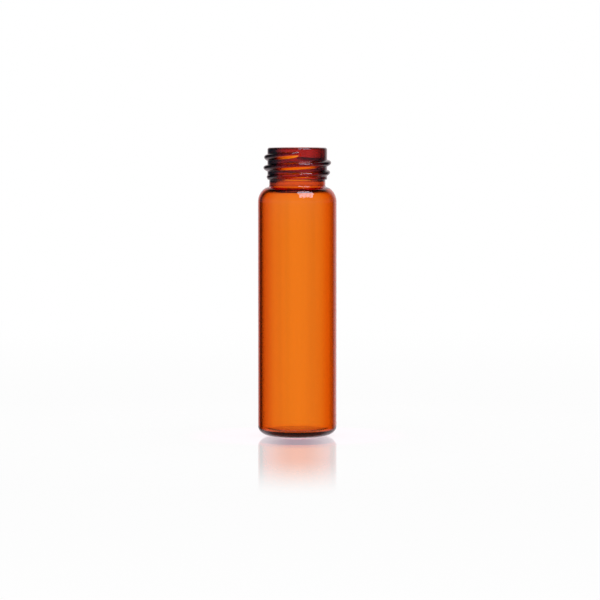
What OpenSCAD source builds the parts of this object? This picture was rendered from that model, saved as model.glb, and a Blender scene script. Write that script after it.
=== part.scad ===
// Amber glass screw-neck sample vial, formed from one length of glass tube.
// Millimetres. The origin is the centre of the ring that it stands on, and +Z points to the mouth.

/* [Body] */
// Outside diameter of the body
body_d = 16.6; // [15.6:0.1:20]
// Height from the standing ring to the rim
height = 61; // [35:0.5:90]
// Glass wall of the body and the shoulder
wall = 0.75; // [0.6:0.05:1.1]

/* [Base] */
// Height of the inside floor above the standing ring
floor_t = 1.4; // [1.1:0.05:2]
// Distance that the heel runs in under the wall, to the standing ring
heel_w = 3.2; // [2.4:0.1:3.6]
// Height of the heel, from the standing ring to the wall
heel_h = 2.1; // [1.4:0.1:2.6]
// Inside radius of the heel
heel_in_r = 0.9; // [0.6:0.1:1.6]
// Width of the flat ring that it stands on
foot_w = 0.6; // [0.3:0.1:1]
// Rise of the shallow hollow inside that ring
kick_h = 0.3; // [0.1:0.05:0.5]

/* [Shoulder] */
// Outside radius of the arc that leaves the body wall
shoulder_r = 3.6; // [3:0.1:4.2]
// Outside radius of the tighter arc that runs on to the neck
crown_r = 2.2; // [1.9:0.1:2.6]
// Heading at which the first arc hands over to the second
crown_from = 45; // [35:1:55]

/* [Neck] */
// Distance from the highest point of the shoulder to the rim
finish_h = 8.25; // [8:0.05:11]
// Outside diameter of the neck behind the thread
neck_d = 12.6; // [12.2:0.05:12.9]
// Outside diameter of the waist between the thread and the shoulder
waist_d = 11.85; // [11.6:0.05:12.1]
// Distance from the highest point of the shoulder up to the top of the waist
waist_h = 1.55; // [1.3:0.05:1.8]
// Bore of the mouth and neck
bore_d = 10.1; // [9.4:0.1:10.4]
// Radius in the corner between the waist and the shoulder
waist_r = 0.4; // [0.25:0.05:0.6]
// Radius of the rounded lower end of the bore
throat_r = 0.8; // [0.6:0.05:1]
// Radius of the two fire-polished edges of the rim
rim_r = 0.45; // [0.2:0.05:0.5]

/* [Thread] */
// Diameter over the thread
thread_d = 14.3; // [13.6:0.05:14.9]
// Pitch of the single right-handed thread, 12 turns to the inch
pitch = 2.117; // [1.9:0.001:2.3]
// Distance from the rim to the crest of the ridge at its upper end
thread_drop = 1.58; // [1.5:0.02:1.8]
// Length of the ridge, in turns, with the two ends that sink into the neck
thread_turns = 2.56; // [1.5:0.01:2.6]
// Distance from the crest up to where the ridge leaves the neck
ridge_up = 0.68; // [0.5:0.02:0.8]
// Distance from the crest down to where the ridge leaves the neck
ridge_down = 0.8; // [0.5:0.02:0.9]
// Fullness of the ridge's upper side: 2 is a parabola, and more is squarer
full_up = 3; // [2:0.5:6]
// Fullness of its lower side
full_down = 2; // [2:0.5:6]
// Angle over which the blunt upper end swells to the full height
fade_upper = 300; // [60:10:360]
// Angle over which the ridge runs out at its lower end
fade_lower = 400; // [60:10:500]
// Heading of the upper end about the axis, from +X towards +Y
upper_end_at = 274; // [0:1:359]

/* [Hidden] */
$fn = 96;

amber = "#D8640F";

// Radii and heights that the section uses more than once
body_r = body_d / 2;
neck_r = neck_d / 2;
bore_r = bore_d / 2;
waist_top = height - finish_h + waist_h;
waist_step = (neck_d - waist_d) / 2;

// Centres of the two shoulder arcs, shared by the outside and the inside
arc_shift = shoulder_r - crown_r;
crown_c = [
    body_r - shoulder_r + arc_shift * cos(crown_from),
    height - finish_h - crown_r
];
shoulder_c = crown_c - arc_shift * [cos(crown_from), sin(crown_from)];

// Half width, radius and half angle of the arc that hollows the underside
kick_w = body_r - heel_w - foot_w;
kick_r = (pow(kick_w, 2) + pow(kick_h, 2)) / (2 * kick_h);
kick_half = asin(kick_w / kick_r);

// Largest turn between two points of an arc in the section
arc_step = 11.25;

// Ridge of the thread: its root lies inside the glass, under the side of the waist
root_depth = 0.15;
ridge_h = (thread_d - neck_d) / 2;
ridge_root = waist_step + root_depth;
ridge_least = 0.05;
ridge_step = 6;
side_steps = 5;
blunt_power = 0.2;
ridge_angle = 360 * thread_turns;

// Points of an oval's curve about c, from one heading to another
function oval(c, radii, from, to) =
    let (steps = ceil(abs(to - from) / arc_step))
    [
        for (i = [0 : steps])
            let (heading = from + (to - from) * i / steps)
            c + [radii.x * cos(heading), radii.y * sin(heading)]
    ];

function arc(c, r, from, to) = oval(c, [r, r], from, to);

function backwards(points) = [for (i = [1 : len(points)]) points[len(points) - i]];

// The same points with none that repeats the one before it
function no_repeats(points) = [
    for (i = [0 : len(points) - 1])
        if (i == 0 || norm(points[i] - points[i - 1]) > 0.001) points[i]
];

// One side of the glass, from the heel to the neck: the heel, the two shoulder arcs, and
// the arc in the corner with the neck, which touches the crown and the neck's side
function side_line(inset, foot_z, heel, side_r, corner_r) =
    let (
        top_r = crown_r - inset,
        reach = side_r + corner_r - crown_c.x,
        meet = acos(reach / (top_r + corner_r)),
        corner_c = crown_c + (top_r + corner_r) * [cos(meet), sin(meet)]
    )
    concat(
        oval([body_r - inset - heel.x, foot_z + heel.y], heel, -90, 0),
        arc(shoulder_c, shoulder_r - inset, 0, crown_from),
        arc(crown_c, top_r, crown_from, meet),
        arc(corner_c, corner_r, meet + 180, 180)
    );

// Half section of the glass: up the outside, over the rim and down the inside
glass_section = no_repeats(concat(
    arc([0, kick_h - kick_r], kick_r, 90, 90 - kick_half),
    side_line(0, 0, [heel_w, heel_h], waist_d / 2, waist_r),
    [[waist_d / 2, waist_top - waist_step], [neck_r, waist_top]],
    arc([neck_r - rim_r, height - rim_r], rim_r, 0, 90),
    arc([bore_r + rim_r, height - rim_r], rim_r, 90, 180),
    backwards(side_line(wall, floor_t, [heel_in_r, heel_in_r], bore_r, throat_r)),
    [[0, floor_t]]
));

// Share of the ridge's size at an angle from its lower end, where it runs out slowly
function run_out(a) = sqrt(min(a / fade_lower, 1));

// Share of the ridge's height there, with the blunt upper end
function swell(a) =
    let (upper = pow(min((ridge_angle - a) / fade_upper, 1), blunt_power))
    max(min(run_out(a), upper), ridge_least);

// One side of the ridge's section, as [along the axis, out from the neck], from its root
// in the glass up to the crest
function ridge_side(width, fullness) =
    let (root = pow(1 + ridge_root / ridge_h, 1 / fullness))
    [
        for (i = [0 : side_steps])
            let (share = root * (1 - i / side_steps))
            [width * share, ridge_h * (1 - pow(share, fullness))]
    ];

ridge_section = no_repeats(concat(
    ridge_side(ridge_up, full_up),
    backwards(ridge_side(-ridge_down, full_down))
));

// A point of the ridge's section, placed on the helix at an angle from its lower end.
// There the ridge narrows to half its width, from below
function on_helix(p, a) =
    let (
        narrow = (1 + run_out(a)) / 2,
        r = neck_r - ridge_root + (p.y + ridge_root) * swell(a),
        z = ridge_up - (ridge_up - p.x) * narrow,
        heading = upper_end_at + a - ridge_angle
    )
    [
        r * cos(heading),
        r * sin(heading),
        height - thread_drop + pitch * (a - ridge_angle) / 360 + z
    ];

// The screw thread's ridge, which rises from the neck and sinks back into it
module ridge() {
    size = len(ridge_section);
    rings = ceil(ridge_angle / ridge_step);
    points = [
        for (i = [0 : rings], p = ridge_section) on_helix(p, ridge_angle * i / rings)
    ];
    sides = [
        for (i = [0 : rings - 1], k = [0 : size - 1])
            let (a = i * size + k, b = i * size + (k + 1) % size)
            [a, a + size, b + size, b]
    ];
    first = [for (k = [0 : size - 1]) k];
    last = [for (k = [0 : size - 1]) rings * size + size - 1 - k];
    polyhedron(points, concat(sides, [first, last]));
}

// The vial: one wall of glass, with the ridge formed in its neck
module vial() {
    color(amber) union() {
        rotate_extrude() polygon(glass_section);
        ridge();
    }
}

vial();
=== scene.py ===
"""Amber glass screw-neck sample vial, on a glossy white table in a plain white studio.

Metres and degrees. The origin is the centre of the ring that the vial stands on, and +Z points to
its mouth. The glass is one closed mesh: an outline that is worked out from the sizes below, turned
about the axis and threaded by a Geometry Nodes tree.
"""

import math

import bpy
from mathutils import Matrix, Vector


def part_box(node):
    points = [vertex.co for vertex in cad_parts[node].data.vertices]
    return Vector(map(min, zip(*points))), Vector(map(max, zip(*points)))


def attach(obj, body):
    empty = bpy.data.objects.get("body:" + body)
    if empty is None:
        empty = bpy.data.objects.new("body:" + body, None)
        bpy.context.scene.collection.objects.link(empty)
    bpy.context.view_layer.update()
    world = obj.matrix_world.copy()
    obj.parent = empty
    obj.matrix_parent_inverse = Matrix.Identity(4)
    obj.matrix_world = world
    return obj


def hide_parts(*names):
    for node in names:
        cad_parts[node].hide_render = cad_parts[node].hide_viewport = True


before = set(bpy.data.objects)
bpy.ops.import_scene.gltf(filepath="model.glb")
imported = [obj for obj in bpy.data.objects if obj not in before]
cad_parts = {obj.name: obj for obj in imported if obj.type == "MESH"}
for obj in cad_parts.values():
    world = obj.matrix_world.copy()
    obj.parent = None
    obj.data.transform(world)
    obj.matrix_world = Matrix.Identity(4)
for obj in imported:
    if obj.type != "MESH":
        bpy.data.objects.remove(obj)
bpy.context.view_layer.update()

# ---------------------------------------------------------------------------------------- sizes
MM = 0.001
VIAL_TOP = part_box("vial")[1]

# The body and its base
HEIGHT = VIAL_TOP.z
BODY_R = VIAL_TOP.x
WALL = 0.75 * MM
FLOOR_T = 1.4 * MM
HEEL_W = 3.2 * MM
HEEL_H = 2.1 * MM
HEEL_IN_R = 0.9 * MM
FOOT_W = 0.6 * MM
KICK_H = 0.3 * MM

# The shoulder's two arcs, and the heading at which the first hands over to the second
SHOULDER_R = 3.6 * MM
CROWN_R = 2.2 * MM
CROWN_FROM = 45
ARC_SHIFT = SHOULDER_R - CROWN_R

# The neck, from the crest of the shoulder up to the rim
FINISH_H = 8.25 * MM
NECK_R = 6.3 * MM
WAIST_R = 5.925 * MM
WAIST_H = 1.55 * MM
WAIST_LEDGE_H = 0.15 * MM
WAIST_CORNER_R = 0.4 * MM
BORE_R = 5.05 * MM
THROAT_R = 0.8 * MM
RIM_R = 0.45 * MM
SHOULDER_TOP = HEIGHT - FINISH_H
WAIST_TOP = SHOULDER_TOP + WAIST_H

# The ridge of the thread: its section, and its helix from the upper end down
RIDGE_H = 0.85 * MM
RIDGE_UP = 0.68 * MM
RIDGE_DOWN = 0.8 * MM
RIDGE_ROOT = 0.525 * MM
ROUNDNESS_UP = 3.0
ROUNDNESS_DOWN = 2.0
FILLET = 0.07 * MM
PITCH = 2.117 * MM
THREAD_DROP = 1.545 * MM
THREAD_TURNS = 2.577
UPPER_END_AT = 286.0

# Its two ends: the angles over which they fade, the powers by which they do, and the least share
# of its width
FADE_UPPER = 300.0
FADE_LOWER = 400.0
UPPER_POWER = 0.1
LOWER_POWER = 0.5
NARROWEST = 0.5

# The tip of its upper end, which tapers over an angle and rises a little
TIP = 30.0
TIP_POWER = 0.6
TIP_RISE = 0.3 * MM
TIP_RISE_POWER = 3.0

# The wall takes the thread from this far outside the bore and this far over the shoulder's crest
THREAD_OFF_BORE = 0.6 * MM
THREAD_OFF_SHOULDER = 0.2 * MM

# Steps of the mesh
SEGMENTS = 240
ARC_STEP = 4.5
KICK_STEP = 1.0
RIM_STEP = 10
BODY_STEP = 4 * MM
NECK_STEP = 0.035 * MM
BORE_STEP = 2 * MM
FLOOR_STEP = 1 * MM
END_STEP = 0.04 * MM
SAME_POINT = 0.001 * MM
MERGE_WITHIN = 0.0005 * MM


def cosine(degrees):
    return math.cos(math.radians(degrees))


def sine(degrees):
    return math.sin(math.radians(degrees))


def heights(base, low, high):
    """A span of heights, from low to high over a base, in millimetres."""
    return (base + low * MM, base + high * MM)


# -------------------------------------------------------------------------------------- outline
def at(heading, length=1.0):
    """A vector in the section's plane, as (out from the axis, up)."""
    return Vector((cosine(heading), sine(heading))) * length


CROWN_C = Vector((BODY_R - SHOULDER_R + ARC_SHIFT * cosine(CROWN_FROM), SHOULDER_TOP - CROWN_R))
SHOULDER_C = CROWN_C - at(CROWN_FROM, ARC_SHIFT)


def arc(centre, radius, start, stop, step=ARC_STEP):
    """Points of an arc, from one heading to another."""
    count = math.ceil(abs(stop - start) / step)
    return [centre + at(start + (stop - start) * i / count, radius) for i in range(count + 1)]


def heel_curve(wall_r, foot_z, width, height):
    """A quarter of an ellipse from the foot up to the wall."""
    quarter = arc(Vector((0, 0)), 1.0, -90, 0)
    return [Vector((wall_r - width + p.x * width, foot_z + height + p.y * height)) for p in quarter]


def straight(start, stop, step):
    """Points of a straight line, with both its ends."""
    count = max(1, math.ceil((stop - start).length / step))
    return [start.lerp(stop, i / count) for i in range(count + 1)]


def wall(start, stop, step):
    """Points of a straight wall, with a short step at each end so that it stays flat to its ends."""
    short = (stop - start).normalized() * END_STEP
    return [start] + straight(start + short, stop - short, step) + [stop]


def side_line(inset, foot_z, heel_w, heel_h, side_r, corner_r):
    """One side of the glass from the heel to the neck: heel, wall, two shoulder arcs and corner."""
    top_r = CROWN_R - inset
    meet = math.degrees(math.acos((side_r + corner_r - CROWN_C.x) / (top_r + corner_r)))
    corner_c = CROWN_C + at(meet, top_r + corner_r)
    wall_r = BODY_R - inset
    foot = Vector((wall_r, foot_z + heel_h))
    top = Vector((wall_r, SHOULDER_C.y))
    return (
        heel_curve(wall_r, foot_z, heel_w, heel_h)
        + wall(foot, top, BODY_STEP)
        + arc(SHOULDER_C, SHOULDER_R - inset, 0, CROWN_FROM)
        + arc(CROWN_C, top_r, CROWN_FROM, meet)
        + arc(corner_c, corner_r, meet + 180, 180)
    )


def glass_outline():
    """Half section of the glass: up the outside, over the rim and down the inside."""
    kick_w = BODY_R - HEEL_W - FOOT_W
    kick_r = (kick_w**2 + KICK_H**2) / (2 * KICK_H)
    kick_half = math.degrees(math.asin(kick_w / kick_r))
    outer_side = side_line(0, 0, HEEL_W, HEEL_H, WAIST_R, WAIST_CORNER_R)
    inner_side = side_line(WALL, FLOOR_T, HEEL_IN_R, HEEL_IN_R, BORE_R, THROAT_R)
    ledge_foot = Vector((WAIST_R, WAIST_TOP - WAIST_LEDGE_H))
    ledge_top = Vector((NECK_R, WAIST_TOP))
    rim_z = HEIGHT - RIM_R
    lines = [
        arc(Vector((0, KICK_H - kick_r)), kick_r, 90, 90 - kick_half, KICK_STEP),
        outer_side,
        straight(outer_side[-1], ledge_foot, NECK_STEP),
        straight(ledge_foot, ledge_top, NECK_STEP),
        straight(ledge_top, Vector((NECK_R, rim_z)), NECK_STEP),
        arc(Vector((NECK_R - RIM_R, rim_z)), RIM_R, 0, 90, RIM_STEP),
        arc(Vector((BORE_R + RIM_R, rim_z)), RIM_R, 90, 180, RIM_STEP),
        wall(Vector((BORE_R, rim_z)), inner_side[-1], BORE_STEP),
        inner_side[::-1],
        wall(inner_side[0], Vector((0, FLOOR_T)), FLOOR_STEP),
    ]
    points = []
    for point in (p for line in lines for p in line):
        if not points or (point - points[-1]).length > SAME_POINT:
            points.append(point)
    return points


# -------------------------------------------------------------------------------- node builders
def feed(tree, socket, value):
    """Gives a socket a value, or links another node's output to it."""
    if isinstance(value, bpy.types.NodeSocket):
        tree.links.new(value, socket)
    else:
        socket.default_value = value


def put(tree, kind, inputs=None, **settings):
    """Adds a node with its settings, and feeds its inputs by name or number."""
    made = tree.nodes.new(kind)
    for name, value in settings.items():
        setattr(made, name, value)
    for name, value in (inputs or {}).items():
        feed(tree, made.inputs[name], value)
    return made


def calc(tree, operation, *values):
    """The result of one Math node."""
    return put(tree, "ShaderNodeMath", dict(enumerate(values)), operation=operation).outputs[0]


def vector_calc(tree, operation, *values, result="Vector"):
    """The result of one Vector Math node."""
    return put(tree, "ShaderNodeVectorMath", dict(enumerate(values)), operation=operation).outputs[result]


def parts_of(tree, vector):
    """The X, Y and Z of a vector."""
    return put(tree, "ShaderNodeSeparateXYZ", {0: vector}).outputs


def turned_about_z(tree, vector, angle):
    """A vector, turned about +Z by an angle in radians."""
    inputs = {"Vector": vector, "Angle": angle}
    return put(tree, "ShaderNodeVectorRotate", inputs, rotation_type="Z_AXIS").outputs["Vector"]


def choose(tree, chosen, first, second):
    """The first number where chosen is 0, and the second where it is 1."""
    return put(tree, "ShaderNodeMix", {0: chosen, 2: first, 3: second}).outputs[0]


def times(tree, product, *factors):
    """The product of two or more values."""
    for factor in factors:
        product = calc(tree, "MULTIPLY", product, factor)
    return product


def ramp(tree, value, low, high, to_low=0.0, to_high=1.0):
    """Takes a value smoothly from to_low at low to to_high at high."""
    inputs = {"Value": value, "From Min": low, "From Max": high, "To Min": to_low, "To Max": to_high}
    return put(tree, "ShaderNodeMapRange", inputs, interpolation_type="SMOOTHSTEP").outputs["Result"]


def rise(tree, value, span):
    """Takes a value from 0 at the span's first end to 1 at its second."""
    return ramp(tree, value, *span)


def fall(tree, value, span):
    """Takes a value from 1 at the span's first end to 0 at its second."""
    return ramp(tree, value, *span, 1.0, 0.0)


def bell(tree, value, middle, width):
    """1 where the value is at the middle, and less on both sides of it."""
    off = calc(tree, "DIVIDE", calc(tree, "SUBTRACT", value, middle), width)
    return calc(tree, "EXPONENT", times(tree, off, off, -1.0))


def fade(tree, share, full):
    """A factor that goes evenly from 1 where the share is 0 to full where it is 1."""
    return calc(tree, "MULTIPLY_ADD", share, calc(tree, "SUBTRACT", full, 1.0), 1.0)


def deepen(tree, share, full):
    """A factor that goes by powers from 1 where the share is 0 to full where it is 1."""
    return calc(tree, "POWER", full, share)


def mix_colour(tree, share, first, second):
    """The first colour where the share is 0, and the second where it is 1."""
    return put(tree, "ShaderNodeMix", {0: share, 6: first, 7: second}, data_type="RGBA").outputs[2]


def mix_shader(tree, share, first, second):
    """The first shader where the share is 0, and the second where it is 1."""
    return put(tree, "ShaderNodeMixShader", {0: share, 1: first, 2: second}).outputs["Shader"]


def link_result(tree, kind, name, result):
    """Adds the node that ends a tree, and links the result to its input of that name."""
    tree.links.new(result, tree.nodes.new(kind).inputs[name])


# ------------------------------------------------------------------------------------- the vial
THREAD_INPUTS = {
    "Height": HEIGHT,
    "Shoulder Top": SHOULDER_TOP,
    "Neck Radius": NECK_R,
    "Bore Radius": BORE_R,
    "Ridge Height": RIDGE_H,
    "Upper Width": RIDGE_UP,
    "Lower Width": RIDGE_DOWN,
    "Ridge Root": RIDGE_ROOT,
    "Upper Roundness": ROUNDNESS_UP,
    "Lower Roundness": ROUNDNESS_DOWN,
    "Fillet": FILLET,
    "Pitch": PITCH,
    "Drop": THREAD_DROP,
    "Turns": THREAD_TURNS,
    "Upper End": UPPER_END_AT,
    "Upper Fade": FADE_UPPER,
    "Lower Fade": FADE_LOWER,
    "Tip": TIP,
    "Tip Rise": TIP_RISE,
}


def new_vial_tree():
    """An empty tree, with the outline, the steps of the turn and the thread's sizes as inputs."""
    tree = bpy.data.node_groups.new("Turned and threaded glass", "GeometryNodeTree")
    tree.is_modifier = True
    tree.interface.new_socket(name="Outline", in_out="INPUT", socket_type="NodeSocketGeometry")
    segments = tree.interface.new_socket(name="Segments", in_out="INPUT", socket_type="NodeSocketInt")
    segments.default_value = SEGMENTS
    for name, value in THREAD_INPUTS.items():
        socket = tree.interface.new_socket(name=name, in_out="INPUT", socket_type="NodeSocketFloat")
        socket.default_value = value
    tree.interface.new_socket(name="Glass", in_out="OUTPUT", socket_type="NodeSocketGeometry")
    return tree


def turned_grid(tree, given):
    """A grid with one row for each step of the turn and one column for each point of the outline,
    and for each of its points the radius, the height and the heading that it goes to."""
    size = put(tree, "GeometryNodeAttributeDomainSize", {"Geometry": given["Outline"]}, component="MESH")
    count = size.outputs["Point Count"]
    rows = calc(tree, "ADD", given["Segments"], 1)
    grid = put(tree, "GeometryNodeMeshGrid", {"Vertices X": rows, "Vertices Y": count}).outputs["Mesh"]
    index = tree.nodes.new("GeometryNodeInputIndex").outputs["Index"]
    turn_step = calc(tree, "FLOOR", calc(tree, "DIVIDE", index, count))
    place = calc(tree, "MODULO", index, count)
    position = tree.nodes.new("GeometryNodeInputPosition").outputs["Position"]
    taken = put(tree, "GeometryNodeSampleIndex", data_type="FLOAT_VECTOR", domain="POINT")
    feed(tree, taken.inputs["Geometry"], given["Outline"])
    feed(tree, taken.inputs["Index"], place)
    feed(tree, [s for s in taken.inputs if s.name == "Value" and s.type == "VECTOR"][0], position)
    section = parts_of(tree, [s for s in taken.outputs if s.type == "VECTOR"][0])
    heading = calc(tree, "DIVIDE", calc(tree, "MULTIPLY", turn_step, 360.0), given["Segments"])
    return grid, section["X"], section["Z"], heading


def nearest_turn(tree, given, z, heading):
    """The height of the ridge's helix on the turn that lies nearest, and the angle from its upper
    end down to there."""
    below = calc(tree, "FLOORED_MODULO", calc(tree, "SUBTRACT", given["Upper End"], heading), 360.0)
    top_z = calc(tree, "SUBTRACT", given["Height"], given["Drop"])
    sunk = calc(tree, "MULTIPLY", given["Pitch"], calc(tree, "DIVIDE", below, 360.0))
    first_z = calc(tree, "SUBTRACT", top_z, sunk)
    turn = calc(tree, "ROUND", calc(tree, "DIVIDE", calc(tree, "SUBTRACT", first_z, z), given["Pitch"]))
    turn = calc(tree, "MAXIMUM", turn, 0.0)
    run = calc(tree, "MULTIPLY_ADD", turn, 360.0, below)
    helix_z = calc(tree, "SUBTRACT", first_z, calc(tree, "MULTIPLY", given["Pitch"], turn))
    return helix_z, run


def ridge_ends(tree, given, run):
    """The shares of its full height and width that the ridge has there, and of its tip's rise."""
    left = calc(tree, "SUBTRACT", calc(tree, "MULTIPLY", given["Turns"], 360.0), run)
    upper_share = calc(tree, "DIVIDE", run, given["Upper Fade"])
    lower_share = calc(tree, "DIVIDE", left, given["Lower Fade"])
    tip = calc(tree, "MINIMUM", calc(tree, "DIVIDE", run, given["Tip"]), 1.0)
    upper_swell = calc(tree, "POWER", calc(tree, "MAXIMUM", upper_share, 0.0), UPPER_POWER)
    upper_swell = calc(tree, "MULTIPLY", upper_swell, calc(tree, "POWER", tip, TIP_POWER))
    lower_swell = calc(tree, "POWER", calc(tree, "MAXIMUM", lower_share, 0.0), LOWER_POWER)
    lower_swell = calc(tree, "MINIMUM", lower_swell, 1.0)
    swell = calc(tree, "MINIMUM", upper_swell, lower_swell)
    narrow = calc(tree, "MULTIPLY_ADD", lower_swell, 1 - NARROWEST, NARROWEST)
    early = calc(tree, "MAXIMUM", calc(tree, "SUBTRACT", 1.0, upper_share), 0.0)
    return swell, narrow, calc(tree, "POWER", early, TIP_RISE_POWER)


def ridge_radius(tree, given, z, heading):
    """How far from the axis the ridge's surface lies at a height and a heading."""
    helix_z, run = nearest_turn(tree, given, z, heading)
    swell, narrow, early = ridge_ends(tree, given, run)

    # its crest stands a little over the helix where the ridge is narrow, and near its tip
    lift = calc(tree, "MULTIPLY", calc(tree, "SUBTRACT", 1.0, narrow), given["Upper Width"])
    crest_z = calc(tree, "MULTIPLY_ADD", early, given["Tip Rise"], calc(tree, "ADD", helix_z, lift))

    # its section has one width and roundness over the crest, and others under it
    above = calc(tree, "GREATER_THAN", z, crest_z)
    roundness = choose(tree, above, given["Lower Roundness"], given["Upper Roundness"])
    half = choose(tree, above, given["Lower Width"], given["Upper Width"])
    offset = calc(tree, "ABSOLUTE", calc(tree, "SUBTRACT", z, crest_z))
    across = calc(tree, "DIVIDE", calc(tree, "DIVIDE", offset, narrow), half)
    lobe = calc(tree, "SUBTRACT", 1.0, calc(tree, "POWER", across, roundness))
    ridge_h = calc(tree, "MULTIPLY", lobe, given["Ridge Height"])
    grown = calc(tree, "MULTIPLY", calc(tree, "ADD", ridge_h, given["Ridge Root"]), swell)
    return calc(tree, "ADD", calc(tree, "SUBTRACT", given["Neck Radius"], given["Ridge Root"]), grown)


def vial_tree(glass):
    """Turns the outline in the incoming mesh about the axis and raises the thread from its neck."""
    tree = new_vial_tree()
    given = tree.nodes.new("NodeGroupInput").outputs
    grid, radius, z, heading = turned_grid(tree, given)

    # only the outside of the neck takes the thread
    threaded = calc(tree, "SMOOTH_MAX", radius, ridge_radius(tree, given, z, heading), given["Fillet"])
    outside = calc(tree, "GREATER_THAN", radius, calc(tree, "ADD", given["Bore Radius"], THREAD_OFF_BORE))
    neck_from = calc(tree, "ADD", given["Shoulder Top"], THREAD_OFF_SHOULDER)
    threaded_here = calc(tree, "MULTIPLY", outside, calc(tree, "GREATER_THAN", z, neck_from))
    raised = calc(tree, "MULTIPLY", calc(tree, "SUBTRACT", threaded, radius), threaded_here)
    radius = calc(tree, "ADD", radius, raised)

    angle = calc(tree, "RADIANS", heading)
    x = calc(tree, "MULTIPLY", radius, calc(tree, "COSINE", angle))
    y = calc(tree, "MULTIPLY", radius, calc(tree, "SINE", angle))
    placed = put(tree, "ShaderNodeCombineXYZ", {"X": x, "Y": y, "Z": z}).outputs["Vector"]
    shape = grid
    for kind, inputs in (
        ("GeometryNodeSetPosition", {"Position": placed}),
        ("GeometryNodeMergeByDistance", {"Distance": MERGE_WITHIN}),
        ("GeometryNodeSetShadeSmooth", {}),
        ("GeometryNodeRealizeInstances", {}),
        ("GeometryNodeSetMaterial", {"Material": glass}),
    ):
        shape = put(tree, kind, {"Geometry": shape, **inputs}).outputs["Geometry"]
    link_result(tree, "NodeGroupOutput", "Glass", shape)
    return tree


def outline_mesh(name, points):
    """The half section as a chain of edges in the XZ plane."""
    mesh = bpy.data.meshes.new(name)
    mesh.from_pydata([(p.x, 0, p.y) for p in points], [(i, i + 1) for i in range(len(points) - 1)], [])
    return mesh


def make_vial(glass):
    """The vial as one closed mesh, in place of the CAD solid."""
    base = bpy.data.objects.new("outline", outline_mesh("outline", glass_outline()))
    bpy.context.scene.collection.objects.link(base)
    turned = base.modifiers.new("Turned and threaded glass", "NODES")
    turned.node_group = vial_tree(glass)
    bpy.context.view_layer.update()
    graph = bpy.context.evaluated_depsgraph_get()
    mesh = bpy.data.meshes.new_from_object(base.evaluated_get(graph), depsgraph=graph)
    bpy.data.objects.remove(base)
    mesh.name = "vial_glass"
    piece = bpy.data.objects.new("vial_glass", mesh)
    bpy.context.scene.collection.objects.link(piece)
    return piece


# ------------------------------------------------------------------------------------ the glass
# The glass has its colour in its depth. On top of that, tints paint shade into some places, darker
# and redder where light enters the glass. RED and GREEN values go on top of a tint: GREEN is for
# green and blue alike.
# A pair of values is the span over which a place sets in or ends: in metres, or for a slope in the
# normal's Z, or for a turn aside from 0, facing the view, to 1, edge on.
AMBER = (0.9795, 0.7004, 0.0, 1)
AMBER_DENSITY = 3600.0
GLASS_IOR = 1.5

# A face whose normal points this much away from the axis, or towards it, counts in full
FACES_WELL = 0.25

# Heights at which the neck, the waist and the body begin or end. The neck's start slants up to
# the right, as the thread does in front
THREAD_SLANT = -0.14
NECK_STARTS = heights(SHOULDER_TOP, 1.6, 2.05)
WAIST_STARTS = heights(SHOULDER_TOP, -0.6, -0.2)
BODY_ENDS = heights(SHOULDER_TOP, -0.25, 0.05)

# Painted shade on the ridge of the thread, but for its underside, and on its upper flank
RIDGE_TINT = 0.5
RIDGE_SLOPE = (-0.42, -0.12)
FLANK_TINT = 0.15
FLANK_SLOPE = (0.2, 0.45)

# A painted shadow: a dark line on the far inside wall, to the right, level with the first turn of the
# thread
TURN_LINE_TINT = 0.02
TURN_LINE_Z = HEIGHT - 2.36 * MM
TURN_LINE_W = 0.3 * MM
TURN_LINE_SLANT = 0.05
TURN_LINE_X = (-0.4 * MM, 0.9 * MM)
TURN_LINE_Y = (0.0, 1.5 * MM)

# Painted shade on the neck's sides: the rates at which they darken as they turn aside, on the neck and
# at the rim, and a darker left edge
RIM_STARTS = heights(HEIGHT, -2.6, -1.6)
NECK_SIDE_RATE = -24.0
RIM_SIDE_RATE = -16.0
RIM_SIDE_TURN = -6
NECK_SIDE_POWER = 1.6
NECK_SIDE_LEAST = 0.003
NECK_LEFT_TINT = 0.04
NECK_LEFT_X = (-4.6 * MM, -3.75 * MM)

# The waist's sides have a share of that painted shade. It grows to the full from heights that rise to the
# right
WAIST_SIDE_SHARE = 0.2
WAIST_SIDE_STARTS = heights(SHOULDER_TOP, -0.05, 0.35)
WAIST_SIDE_TO_LEFT = SHOULDER_TOP + 0.55 * MM
WAIST_SIDE_TO_RIGHT = SHOULDER_TOP + 0.95 * MM
NECK_SIDE_FROM = SHOULDER_TOP + 1.4 * MM

# Painted shade, darker and redder, on the foot of the waist, and two faint darker rings round it, as height
# and tint
FOOT_TINT = 0.64
FOOT_GREEN = 0.6
FOOT_STARTS = heights(SHOULDER_TOP, -0.15, 0.0)
FOOT_ENDS = heights(SHOULDER_TOP, 0.25, 0.4)
WAIST_RINGS = ((SHOULDER_TOP + 1.16 * MM, 0.35), (SHOULDER_TOP + 0.59 * MM, 0.55))
WAIST_RING_W = 0.09 * MM

# A painted dark band of shade over the shoulder, under the waist. It starts a little lower beside its
# middle
BAND_TINT = 0.003
BAND_STARTS = heights(SHOULDER_TOP, -1.37, -0.7)
BAND_ENDS = heights(SHOULDER_TOP, -0.55, -0.39)
BAND_LOWER = 0.2 * MM
BAND_LOWER_ASIDE = 0.12
BAND_ENDS_ASIDE = (0.4, 0.65)

# Painted shade on the body's sides, redder there, and a painted dark line along each of them, which is
# weaker on its outer side
SIDE_TINT = 0.42
SIDE_GREEN = 0.64
SIDE_GREEN_ASIDE = (0.18, 0.36)
LINE_TINT_LEFT = 0.12
LINE_TINT_RIGHT = 0.35
LINE_SHIFT = 0.04
LINE_ASIDE = (0.2, 0.33)
LINE_STARTS = heights(0, 1.2, 2.2)
LINE_INNER = (0.36, 0.59)
LINE_OUTER = (0.62, 0.74)
LINE_OUTER_SHARE = 0.35

# Painted shade on the inside floor and the heel
FLOOR_TINT = 0.27
FLOOR_SLOPE = (0.9, 0.99)
FLOOR_ENDS = heights(FLOOR_T, 0.6, 1.0)
HEEL_TINT = 0.2
HEEL_ENDS = heights(0, 1.4, 1.95)
HEEL_ENDS_ASIDE = (0.1, 0.45)
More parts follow.
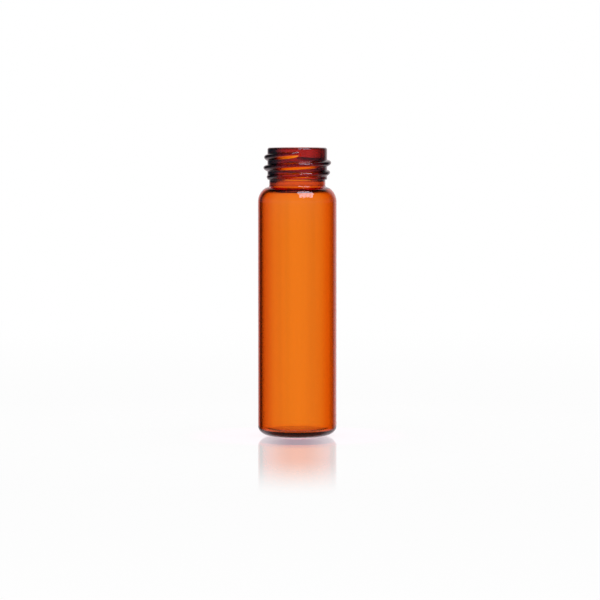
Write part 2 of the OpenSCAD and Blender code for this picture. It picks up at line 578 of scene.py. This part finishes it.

# Painted shade, darker and redder than the rest, on the far inside wall of the neck and the waist
FAR_NECK_RED = 0.2
FAR_NECK_GREEN = 0.008
FAR_WAIST_RED = 0.7
FAR_WAIST_GREEN = 0.25

# The lines of the drawn tube, and the noise that places them
DRAW_LINES = {"Lines per metre": 700.0, "Stretch": 0.02, "Depth": 0.018}
DRAW_NOISE = (0.35, 0.7)
DRAW_DETAIL = 2.0
DRAW_ROUGHNESS = 0.6


def draw_lines_group():
    """Faint lengthwise lines, as a drawn glass tube has: 1 between them, and a little less on them."""
    group = bpy.data.node_groups.new("Draw lines", "ShaderNodeTree")
    group.interface.new_socket(name="Position", in_out="INPUT", socket_type="NodeSocketVector")
    for name, value in DRAW_LINES.items():
        socket = group.interface.new_socket(name=name, in_out="INPUT", socket_type="NodeSocketFloat")
        socket.default_value = value
    group.interface.new_socket(name="Clearness", in_out="OUTPUT", socket_type="NodeSocketFloat")
    given = group.nodes.new("NodeGroupInput").outputs
    squash = put(group, "ShaderNodeCombineXYZ", {"X": 1.0, "Y": 1.0, "Z": given["Stretch"]})
    place = vector_calc(group, "MULTIPLY", given["Position"], squash.outputs["Vector"])
    inputs = {
        "Vector": place,
        "Scale": given["Lines per metre"],
        "Detail": DRAW_DETAIL,
        "Roughness": DRAW_ROUGHNESS,
    }
    noise = put(group, "ShaderNodeTexNoise", inputs).outputs["Fac"]
    strength = rise(group, noise, DRAW_NOISE)
    clearness = calc(group, "SUBTRACT", 1.0, calc(group, "MULTIPLY", strength, given["Depth"]))
    link_result(group, "NodeGroupOutput", "Clearness", clearness)
    return group


def turned_aside(tree, normal=None):
    """How far the surface turns aside from the view, or one with another normal would."""
    weight = put(tree, "ShaderNodeLayerWeight", {"Blend": 0.5})
    if normal is not None:
        feed(tree, weight.inputs["Normal"], normal)
    return weight.outputs["Facing"]


def glass_spot(tree):
    """Where a point of the glass lies, how it faces, and which parts of the vial it belongs to."""
    place = put(tree, "ShaderNodeTexCoord").outputs["Object"]
    x, y, z = parts_of(tree, place)
    flat = put(tree, "ShaderNodeCombineXYZ", {"X": x, "Y": y, "Z": 0.0}).outputs["Vector"]
    outward = vector_calc(tree, "NORMALIZE", flat)
    normal = put(tree, "ShaderNodeTexCoord").outputs["Normal"]
    faces_out = vector_calc(tree, "DOT_PRODUCT", normal, outward, result="Value")
    entering = calc(tree, "SUBTRACT", 1.0, put(tree, "ShaderNodeNewGeometry").outputs["Backfacing"])
    outside = times(tree, ramp(tree, faces_out, 0.0, FACES_WELL), entering)
    in_neck = rise(tree, calc(tree, "MULTIPLY_ADD", x, THREAD_SLANT, z), NECK_STARTS)
    foot = times(tree, rise(tree, z, FOOT_STARTS), fall(tree, z, FOOT_ENDS))
    return {
        "place": place,
        "x": x,
        "y": y,
        "z": z,
        "radius": vector_calc(tree, "LENGTH", flat, result="Value"),
        "outward": outward,
        "slope": parts_of(tree, normal)["Z"],
        "aside": turned_aside(tree, outward),
        "entering": entering,
        "outside": outside,
        "inside": times(tree, ramp(tree, faces_out, 0.0, -FACES_WELL), entering),
        "in_neck": in_neck,
        "in_waist": calc(tree, "SUBTRACT", rise(tree, z, WAIST_STARTS), in_neck),
        "on_foot": times(tree, foot, outside),
        "on_wall": times(tree, fall(tree, z, BODY_ENDS), outside),
    }


def thread_painted_shade(tree, spot):
    """Painted shade on the ridge of the thread and its upper flank, and a painted shadow behind its first
    turn.
    """
    ridge = times(tree, ramp(tree, spot["radius"], NECK_R, NECK_R + RIDGE_H), spot["in_neck"])
    ridge = times(tree, ridge, rise(tree, spot["slope"], RIDGE_SLOPE))
    flank = times(tree, rise(tree, spot["slope"], FLANK_SLOPE), spot["in_neck"], spot["outside"])
    slanted_z = calc(tree, "MULTIPLY_ADD", spot["x"], TURN_LINE_SLANT, spot["z"])
    line = times(tree, bell(tree, slanted_z, TURN_LINE_Z, TURN_LINE_W), spot["inside"])
    line = times(tree, line, rise(tree, spot["x"], TURN_LINE_X), rise(tree, spot["y"], TURN_LINE_Y))
    tint = times(tree, fade(tree, ridge, RIDGE_TINT), fade(tree, flank, FLANK_TINT))
    return times(tree, tint, deepen(tree, line, TURN_LINE_TINT))


def neck_side_painted_shade(tree, spot):
    """Painted shade on the sides of the neck and the waist, darker the further they turn aside."""
    turn = ramp(tree, spot["z"], *RIM_STARTS, 0.0, math.radians(RIM_SIDE_TURN))
    aside = turned_aside(tree, turned_about_z(tree, spot["outward"], turn))
    rate = ramp(tree, spot["z"], *RIM_STARTS, NECK_SIDE_RATE, RIM_SIDE_RATE)
    dark = calc(tree, "EXPONENT", times(tree, calc(tree, "POWER", aside, NECK_SIDE_POWER), rate))
    dark = calc(tree, "MAXIMUM", dark, NECK_SIDE_LEAST)
    dark = times(tree, dark, ramp(tree, spot["x"], *NECK_LEFT_X, NECK_LEFT_TINT, 1.0))
    waist_to = ramp(tree, spot["x"], -BODY_R, BODY_R, WAIST_SIDE_TO_LEFT, WAIST_SIDE_TO_RIGHT)
    share = ramp(tree, spot["z"], waist_to, NECK_SIDE_FROM, WAIST_SIDE_SHARE, 1.0)
    share = times(tree, share, rise(tree, spot["z"], WAIST_SIDE_STARTS), spot["outside"])
    return deepen(tree, share, dark)


def waist_shade_and_rings(tree, spot):
    """Painted shade on the foot of the waist, and the darker rings round it."""
    tint = fade(tree, spot["on_foot"], FOOT_TINT)
    for ring_z, ring_tint in WAIST_RINGS:
        ring = times(tree, bell(tree, spot["z"], ring_z, WAIST_RING_W), spot["outside"])
        tint = times(tree, tint, deepen(tree, ring, ring_tint))
    return tint


def shoulder_painted_shade(tree, spot):
    """The painted dark band of shade over the shoulder."""
    lower = ramp(tree, spot["aside"], 0.0, BAND_LOWER_ASIDE, 0.0, BAND_LOWER)
    band = rise(tree, calc(tree, "ADD", spot["z"], lower), BAND_STARTS)
    band = times(tree, band, fall(tree, spot["z"], BAND_ENDS), spot["outside"])
    band = times(tree, band, fall(tree, spot["aside"], BAND_ENDS_ASIDE))
    return fade(tree, band, BAND_TINT)


def body_painted_shade(tree, spot):
    """Painted shade on the body's sides, and the painted dark line along each of them. The right line is
    weaker, further out.
    """
    sides = deepen(tree, times(tree, spot["aside"], spot["on_wall"]), SIDE_TINT)
    shift = ramp(tree, spot["x"], -BODY_R, BODY_R, 0.0, LINE_SHIFT)
    steep = calc(tree, "SUBTRACT", turned_aside(tree), shift)
    line = times(tree, rise(tree, steep, LINE_INNER), ramp(tree, steep, *LINE_OUTER, 1.0, LINE_OUTER_SHARE))
    line = times(tree, line, spot["on_wall"], rise(tree, spot["aside"], LINE_ASIDE))
    line = times(tree, line, rise(tree, spot["z"], LINE_STARTS))
    line_tint = ramp(tree, spot["x"], -BODY_R, BODY_R, LINE_TINT_LEFT, LINE_TINT_RIGHT)
    return times(tree, sides, fade(tree, line, line_tint))


def base_painted_shade(tree, spot):
    """Painted shade on the inside floor, and on the heel, which is left clear where the table mirrors the
    vial.
    """
    floor = times(tree, rise(tree, spot["slope"], FLOOR_SLOPE), fall(tree, spot["z"], FLOOR_ENDS))
    floor = times(tree, floor, spot["entering"])
    in_mirror = calc(tree, "MINIMUM", put(tree, "ShaderNodeLightPath").outputs["Glossy Depth"], 1.0)
    heel = times(tree, fall(tree, spot["z"], HEEL_ENDS), fall(tree, spot["aside"], HEEL_ENDS_ASIDE))
    heel = times(tree, heel, spot["outside"], calc(tree, "SUBTRACT", 1.0, in_mirror))
    return times(tree, fade(tree, floor, FLOOR_TINT), deepen(tree, heel, HEEL_TINT))


def lines_and_painted_shade(tree):
    """The colour that light takes on as it enters the glass: faint drawn lines, and painted shade in many
    places.
    """
    spot = glass_spot(tree)
    lines = put(tree, "ShaderNodeGroup", node_tree=draw_lines_group())
    feed(tree, lines.inputs["Position"], spot["place"])
    tint = lines.outputs["Clearness"]
    for part_tint in (thread_painted_shade, neck_side_painted_shade, waist_shade_and_rings, shoulder_painted_shade, body_painted_shade, base_painted_shade):
        tint = times(tree, tint, part_tint(tree, spot))

    # painted shade, darker and redder, on the far inside wall of the neck and the waist, on the waist's
    # foot and on the sides
    far_neck = times(tree, spot["in_neck"], spot["inside"])
    far_waist = times(tree, spot["in_waist"], spot["inside"])
    side = times(tree, rise(tree, spot["aside"], SIDE_GREEN_ASIDE), spot["on_wall"])
    red = times(tree, tint, fade(tree, far_neck, FAR_NECK_RED), fade(tree, far_waist, FAR_WAIST_RED))
    green = times(tree, tint, fade(tree, far_neck, FAR_NECK_GREEN), fade(tree, far_waist, FAR_WAIST_GREEN))
    green = times(tree, green, fade(tree, side, SIDE_GREEN), fade(tree, spot["on_foot"], FOOT_GREEN))
    return put(tree, "ShaderNodeCombineColor", {0: red, 1: green, 2: green}).outputs["Color"]


def amber_glass():
    """Amber borosilicate glass, with its colour in its depth and painted shade in its surface colour."""
    glass = bpy.data.materials.new("amber_glass")
    glass.use_nodes = True
    tree = glass.node_tree
    tree.nodes.clear()
    surface = put(tree, "ShaderNodeBsdfPrincipled", {"Base Color": lines_and_painted_shade(tree)})
    surface.inputs["Roughness"].default_value = 0.0
    surface.inputs["IOR"].default_value = GLASS_IOR
    surface.inputs["Transmission Weight"].default_value = 1.0
    depth = put(tree, "ShaderNodeVolumeAbsorption")
    depth.inputs["Color"].default_value = AMBER
    depth.inputs["Density"].default_value = AMBER_DENSITY
    out = put(tree, "ShaderNodeOutputMaterial")
    tree.links.new(surface.outputs["BSDF"], out.inputs["Surface"])
    tree.links.new(depth.outputs["Volume"], out.inputs["Volume"])
    return glass


# ------------------------------------------------------------------------------------ the table
WHITE = (1, 1, 1, 1)
TABLE_R = 6.0
TABLE_PAINT = (0.9, 0.9, 0.9, 1)
TABLE_IOR = 1.5
TABLE_ROUGHNESS = 0.03

# Distances from the vial's axis: the table melts into the backdrop over the first span, its gloss
# dies out over the second, and a painted rose sheen, an emission, with a little more gloss ends
# over the third
GLOW_GROWS = (100 * MM, 400 * MM)
GLOW_LEAST = 0.8
GLOSS_ENDS = (45 * MM, 115 * MM)
SHEEN_ENDS = (16 * MM, 26 * MM)
PAINTED_SHEEN = (0.15, 0.0, 0.08, 1)
SHEEN_GLOSS = 1.12

# The gloss is weaker to the left and the right of the vial
BESIDE_X = (1.0 * MM, 8.5 * MM)
BESIDE_GLOSS = 0.55


def table_material():
    """A white table that melts into the backdrop, with a gloss that dies out round the vial and a painted
    rose sheen close to it. Rays that the vial mirrors or lets through pass it, and find the table that the
    studio shows them."""
    white = bpy.data.materials.new("white_table")
    white.use_nodes = True
    tree = white.node_tree
    tree.nodes.clear()
    place = put(tree, "ShaderNodeTexCoord").outputs["Object"]
    away = vector_calc(tree, "LENGTH", place, result="Value")
    paint = put(tree, "ShaderNodeBsdfDiffuse", {"Color": TABLE_PAINT}).outputs["BSDF"]
    glow = put(tree, "ShaderNodeEmission", {"Color": WHITE, "Strength": 1.0}).outputs["Emission"]
    base = mix_shader(tree, ramp(tree, away, *GLOW_GROWS, GLOW_LEAST, 1.0), paint, glow)

    gloss = put(tree, "ShaderNodeBsdfGlossy", {"Color": WHITE, "Roughness": TABLE_ROUGHNESS})
    fresnel = put(tree, "ShaderNodeFresnel", {"IOR": TABLE_IOR}).outputs["Fac"]
    beside = calc(tree, "ABSOLUTE", parts_of(tree, place)["X"])
    near = fall(tree, away, SHEEN_ENDS)
    share = times(tree, fresnel, fall(tree, away, GLOSS_ENDS), fade(tree, near, SHEEN_GLOSS))
    share = times(tree, share, ramp(tree, beside, *BESIDE_X, 1.0, BESIDE_GLOSS))
    shown = mix_shader(tree, share, base, gloss.outputs["BSDF"])
    # A painted rose sheen: an emission that tints the table's reflection of the vial near its foot
    painted_sheen = put(tree, "ShaderNodeEmission", {"Color": PAINTED_SHEEN, "Strength": times(tree, share, near)})
    shown = put(tree, "ShaderNodeAddShader", {0: shown, 1: painted_sheen.outputs["Emission"]}).outputs["Shader"]

    path = put(tree, "ShaderNodeLightPath").outputs
    by_vial = calc(tree, "MAXIMUM", path["Is Glossy Ray"], path["Is Transmission Ray"])
    clear = put(tree, "ShaderNodeBsdfTransparent").outputs["BSDF"]
    shown = mix_shader(tree, by_vial, shown, clear)
    link_result(tree, "ShaderNodeOutputMaterial", "Surface", shown)
    return white


def make_table():
    """The wide table that the vial stands on, which isn't part of the vial."""
    mesh = bpy.data.meshes.new("table")
    corners = [(x * TABLE_R, y * TABLE_R, 0) for x, y in ((-1, -1), (1, -1), (1, 1), (-1, 1))]
    mesh.from_pydata(corners, [], [(0, 1, 2, 3)])
    mesh.materials.append(table_material())
    table = bpy.data.objects.new("table", mesh)
    bpy.context.scene.collection.objects.link(table)
    return table


# ----------------------------------------------------------------------------------- the studio
# The studio's four main directions are turned a little about Z. A pair of values is a span over
# the directions of rays: angles from a main direction or over the horizon, their X, their Z, or
# for the front card the cosine of their angle from straight behind the vial.
STUDIO_TURN = 10

# Even straight up or down, a ray's direction counts as this long on the level
LEAST_LEVEL = 0.001

# Seen through the glass: white near each main direction, dark between them, and the far table
OPEN_WITHIN = (50, 25)
OPEN_UP_TO = (62, 75)
FAR_TABLE_BELOW = (-10, -20)
BETWEEN = (0.012, 0.012, 0.02, 1)

# Mirrored by the glass: white behind the vial, which reaches a little further round on the left
GLARE = (1, 0.88, 0.9, 1)
GLARE_WITHIN = 44
GLARE_WITHIN_LEFT = 51
GLARE_FULL_WITHIN = 6
GLARE_LEFT_X = (-0.6, -0.2)

# Dim cards at the sides and in front, which are lighter on the level of the vial
SIDE_CARD = (0.02, 0.015, 0.012, 1)
SIDE_CARD_LEVEL = (0.07, 0.075, 0.11, 1)
SIDE_LEVEL_STARTS = (-0.024, -0.019)
FRONT_CARD = (0.18, 0.18, 0.18, 1)
FRONT_CARD_LEVEL = (0.34, 0.34, 0.48, 1)
FRONT_CARD_HIGH = (0.17, 0.13, 0.28, 1)
FRONT_LEVEL_STARTS = (-0.037, -0.012)
FRONT_HIGH_STARTS = (0.12, 0.3)
LEVEL_ENDS = (0.1, 0.35)
FRONT_ENDS = (-0.7, 0.5)

# The table, and its darker part right under the vial
MIRRORED_TABLE = (0.9, 0.75, 0.8, 1)
MIRRORED_TABLE_BELOW = (-0.2, -0.45)
MIRRORED_UNDER = (0.45, 0.18, 0.15, 1)
MIRRORED_UNDER_BELOW = (-0.55, -0.8)

# For other gloss, such as the table's, it is white over the horizon
HORIZON = (0.0, 0.01)


def studio_directions(tree):
    """The way that a ray goes: its X and Z, and the cosines of its angles on the level from the
    nearest main direction and from the one behind the vial."""
    direction = put(tree, "ShaderNodeTexCoord").outputs["Generated"]
    x, y, z = parts_of(tree, turned_about_z(tree, direction, math.radians(STUDIO_TURN)))
    level = calc(tree, "SQRT", calc(tree, "SUBTRACT", 1.0, times(tree, z, z)))
    level = calc(tree, "MAXIMUM", level, LEAST_LEVEL)
    across = calc(tree, "MAXIMUM", calc(tree, "ABSOLUTE", x), calc(tree, "ABSOLUTE", y))
    return {
        "x": x,
        "z": z,
        "nearest": calc(tree, "DIVIDE", across, level),
        "behind": calc(tree, "DIVIDE", y, level),
        "not_high": fall(tree, z, [sine(angle) for angle in OPEN_UP_TO]),
    }


def seen_through_glass(tree, way):
    """What light that comes through the glass finds."""
    ahead = rise(tree, way["nearest"], [cosine(angle) for angle in OPEN_WITHIN])
    far_table = rise(tree, way["z"], [sine(angle) for angle in FAR_TABLE_BELOW])
    bright = calc(tree, "MAXIMUM", times(tree, ahead, way["not_high"]), far_table)
    return mix_colour(tree, bright, BETWEEN, WHITE)


def studio_cards(tree, way):
    """The dim cards at the sides of the vial and in front of it."""
    level_ends = fall(tree, way["z"], LEVEL_ENDS)
    side_level = times(tree, rise(tree, way["z"], SIDE_LEVEL_STARTS), level_ends)
    front_level = times(tree, rise(tree, way["z"], FRONT_LEVEL_STARTS), level_ends)
    side = mix_colour(tree, side_level, SIDE_CARD, SIDE_CARD_LEVEL)
    front = mix_colour(tree, front_level, FRONT_CARD, FRONT_CARD_LEVEL)
    front = mix_colour(tree, rise(tree, way["z"], FRONT_HIGH_STARTS), front, FRONT_CARD_HIGH)
    return mix_colour(tree, fall(tree, way["behind"], FRONT_ENDS), side, front)


def mirrored_by_glass(tree, way):
    """What the glass mirrors: the cards, the white behind the vial, and the table."""
    starts = ramp(tree, way["x"], *GLARE_LEFT_X, cosine(GLARE_WITHIN_LEFT), cosine(GLARE_WITHIN))
    glare = times(tree, ramp(tree, way["behind"], starts, cosine(GLARE_FULL_WITHIN)), way["not_high"])
    shown = mix_colour(tree, glare, studio_cards(tree, way), GLARE)
    shown = mix_colour(tree, rise(tree, way["z"], MIRRORED_TABLE_BELOW), shown, MIRRORED_TABLE)
    return mix_colour(tree, rise(tree, way["z"], MIRRORED_UNDER_BELOW), shown, MIRRORED_UNDER)


def studio_world():
    """White all round, as the camera and plain surfaces see it. Glass finds cards in it."""
    world = bpy.data.worlds.new("studio")
    bpy.context.scene.world = world
    world.use_nodes = True
    tree = world.node_tree
    tree.nodes.clear()
    way = studio_directions(tree)
    path = put(tree, "ShaderNodeLightPath").outputs
    over_horizon = rise(tree, way["z"], HORIZON)
    value = mix_colour(tree, path["Is Singular Ray"], over_horizon, mirrored_by_glass(tree, way))
    value = mix_colour(tree, path["Is Glossy Ray"], WHITE, value)
    value = mix_colour(tree, path["Is Transmission Ray"], value, seen_through_glass(tree, way))
    value = mix_colour(tree, path["Is Camera Ray"], value, WHITE)
    back = put(tree, "ShaderNodeBackground", {"Color": value, "Strength": 1.0})
    link_result(tree, "ShaderNodeOutputWorld", "Surface", back.outputs["Background"])


# One soft box, high on the right and on the camera's side, that shows in gloss alone
SOFT_BOX_W = 0.6
SOFT_BOX_H = 0.75
SOFT_BOX_POWER = 12.4
SOFT_BOX_COLOUR = (0.65, 0.73, 0.92)
SOFT_BOX_AT = Vector((0.327, -0.382, 0.7975))
SOFT_BOX_AIM = Vector((-0.224, 0.751, -0.621))


def make_soft_box():
    """The soft box that the highlights on the neck and the shoulder come from."""
    lamp = bpy.data.lights.new("soft_box", "AREA")
    lamp.shape = "RECTANGLE"
    lamp.size = SOFT_BOX_W
    lamp.size_y = SOFT_BOX_H
    lamp.energy = SOFT_BOX_POWER
    lamp.color = SOFT_BOX_COLOUR
    box = bpy.data.objects.new("soft_box", lamp)
    box.location = SOFT_BOX_AT
    box.rotation_euler = SOFT_BOX_AIM.to_track_quat("-Z", "Y").to_euler()
    bpy.context.scene.collection.objects.link(box)
    box.visible_transmission = False
    box.visible_diffuse = False


# The lens and its sensor are in millimetres
CAMERA_DISTANCE = 0.711
CAMERA_HEIGHT = 0.0672
CAMERA_SIDE = 0.00057
CAMERA_TILT = 3.0906
CAMERA_REACH = 100
LENS = 202.2
SENSOR_W = 36


def make_camera():
    """The camera, in front of the vial and a little above it, looking slightly down."""
    lens = bpy.data.cameras.new("camera")
    lens.lens = LENS
    lens.sensor_width = SENSOR_W
    lens.clip_end = CAMERA_REACH
    camera = bpy.data.objects.new("camera", lens)
    camera.location = (CAMERA_SIDE, -CAMERA_DISTANCE, CAMERA_HEIGHT)
    camera.rotation_euler = (math.radians(90 - CAMERA_TILT), 0, 0)
    bpy.context.scene.collection.objects.link(camera)
    bpy.context.scene.camera = camera


# ----------------------------------------------------------------------------------------- build
bpy.context.scene.view_settings.view_transform = "Standard"
make_camera()
make_soft_box()
studio_world()
make_table()

vial = make_vial(amber_glass())
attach(vial, "root")
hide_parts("vial")
